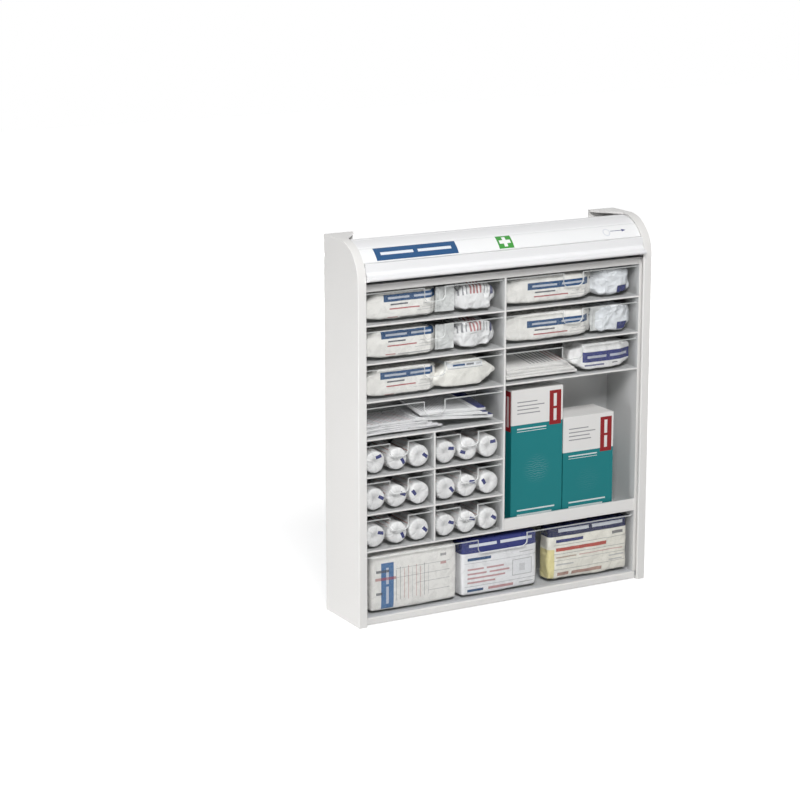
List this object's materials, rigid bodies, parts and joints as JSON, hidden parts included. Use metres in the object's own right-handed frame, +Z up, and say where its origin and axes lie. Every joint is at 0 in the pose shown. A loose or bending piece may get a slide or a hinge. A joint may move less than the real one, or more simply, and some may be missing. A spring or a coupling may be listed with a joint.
{
  "type": "wall first aid cabinet",
  "caption": "Shallow wall cabinet with a roller shutter that rolls up over its rounded top, clear pull-out trays of dressings and bandage rolls, a carton bay and a wide base tray.",
  "frame": {"origin": "on the floor, in the middle of the footprint, the shutter's lip included", "axes": "+X to the right seen from the front, +Y towards the wall, +Z up"},
  "size_m": [0.4, 0.09, 0.452],
  "materials": {
    "shell_white": "satin moulded plastic",
    "slat_white": "satin extruded plastic",
    "label_white": "smooth printed film",
    "box_white": "satin sheet plastic",
    "inner_grey": "matt sheet plastic",
    "clear_plastic": "clear polished plastic",
    "steel": "zinc plated",
    "pouch_film": "dressing in a thin glossy film",
    "sachet_paper": "smooth paper",
    "gauze": "woven gauze in a clear film",
    "pack_film": "folded cloth in a clear film",
    "carton_card": "coated printed card"
  },
  "bodies": {
    "cabinet": {"side_panel_left": "shell_white", "side_panel_right": "shell_white", "guide_track_left": "inner_grey", "guide_track_right": "inner_grey", "back_cover": "inner_grey", "cover_screws": "steel", "base_panel": "inner_grey", "base_screws": "steel", "bottom_rail": "shell_white", "box_side_left": "box_white", "box_side_right": "box_white", "box_back": "box_white", "box_top": "box_white", "head_rail": "shell_white", "centre_divider": "box_white", "shelves_left": "box_white", "shelves_right": "box_white", "small_dividers": "box_white", "lower_deck": "box_white", "bay_lip": "box_white", "arch_slats": "slat_white", "back_slats": "slat_white", "shutter_curtain": "slat_white", "carton_tall": "carton_card", "carton_short": "carton_card"},
    "shutter": {"shutter_rail": "shell_white", "rail_end_caps": "shell_white"},
    "label": {"label_slat": "label_white"},
    "drawer_left_1": {"tray_left_1": "clear_plastic", "pouches_left_1": "pouch_film"},
    "drawer_left_2": {"tray_left_2": "clear_plastic", "pouches_left_2": "pouch_film"},
    "drawer_left_3": {"tray_left_3": "clear_plastic", "pouches_left_3": "pouch_film"},
    "drawer_left_4": {"tray_left_4": "clear_plastic", "sachets_left": "sachet_paper"},
    "drawer_right_1": {"tray_right_1": "clear_plastic", "pouches_right_1": "pouch_film"},
    "drawer_right_2": {"tray_right_2": "clear_plastic", "pouches_right_2": "pouch_film"},
    "drawer_right_3": {"tray_right_3": "clear_plastic", "sachets_right": "sachet_paper", "pouch_right_3": "pouch_film"},
    "drawer_small_1": {"tray_small_1": "clear_plastic", "rolls_1": "gauze"},
    "drawer_small_2": {"tray_small_2": "clear_plastic", "rolls_2": "gauze"},
    "drawer_small_3": {"tray_small_3": "clear_plastic", "rolls_3": "gauze"},
    "drawer_small_4": {"tray_small_4": "clear_plastic", "rolls_4": "gauze"},
    "drawer_small_5": {"tray_small_5": "clear_plastic", "rolls_5": "gauze"},
    "drawer_small_6": {"tray_small_6": "clear_plastic", "rolls_6": "gauze"},
    "drawer_base": {"tray_base": "clear_plastic", "bandage_pack": "pack_film", "triangle_pack": "pack_film", "blanket_pack": "pack_film"}
  },
  "joints": [
    {"name": "shutter_slide", "type": "slide", "parent": "cabinet", "child": "shutter", "axis": [0, 0, 1], "range_m": [-0.3965, 0], "deforming": ["shutter_curtain", "label_slat"]},
    {"name": "label_tilt", "type": "hinge", "parent": "shutter", "child": "label", "pos_m": [0, -0.03281, 0.42173], "axis": [1, 0, 0], "range_deg": [0, 44.7]},
    {"name": "tray_left_1_slide", "type": "slide", "parent": "cabinet", "child": "drawer_left_1", "axis": [0, -1, 0], "range_m": [0, 0.05]},
    {"name": "tray_left_2_slide", "type": "slide", "parent": "cabinet", "child": "drawer_left_2", "axis": [0, -1, 0], "range_m": [0, 0.05]},
    {"name": "tray_left_3_slide", "type": "slide", "parent": "cabinet", "child": "drawer_left_3", "axis": [0, -1, 0], "range_m": [0, 0.05]},
    {"name": "tray_left_4_slide", "type": "slide", "parent": "cabinet", "child": "drawer_left_4", "axis": [0, -1, 0], "range_m": [0, 0.05]},
    {"name": "tray_right_1_slide", "type": "slide", "parent": "cabinet", "child": "drawer_right_1", "axis": [0, -1, 0], "range_m": [0, 0.05]},
    {"name": "tray_right_2_slide", "type": "slide", "parent": "cabinet", "child": "drawer_right_2", "axis": [0, -1, 0], "range_m": [0, 0.05]},
    {"name": "tray_right_3_slide", "type": "slide", "parent": "cabinet", "child": "drawer_right_3", "axis": [0, -1, 0], "range_m": [0, 0.05]},
    {"name": "tray_small_1_slide", "type": "slide", "parent": "cabinet", "child": "drawer_small_1", "axis": [0, -1, 0], "range_m": [0, 0.05]},
    {"name": "tray_small_2_slide", "type": "slide", "parent": "cabinet", "child": "drawer_small_2", "axis": [0, -1, 0], "range_m": [0, 0.05]},
    {"name": "tray_small_3_slide", "type": "slide", "parent": "cabinet", "child": "drawer_small_3", "axis": [0, -1, 0], "range_m": [0, 0.05]},
    {"name": "tray_small_4_slide", "type": "slide", "parent": "cabinet", "child": "drawer_small_4", "axis": [0, -1, 0], "range_m": [0, 0.05]},
    {"name": "tray_small_5_slide", "type": "slide", "parent": "cabinet", "child": "drawer_small_5", "axis": [0, -1, 0], "range_m": [0, 0.05]},
    {"name": "tray_small_6_slide", "type": "slide", "parent": "cabinet", "child": "drawer_small_6", "axis": [0, -1, 0], "range_m": [0, 0.05]},
    {"name": "tray_base_slide", "type": "slide", "parent": "cabinet", "child": "drawer_base", "axis": [0, -1, 0], "range_m": [0, 0.05]}
  ],
  "couplings": [
    {"joint": "label_tilt", "follows": "shutter_slide", "rad_per_m": -1.9476}
  ]
}
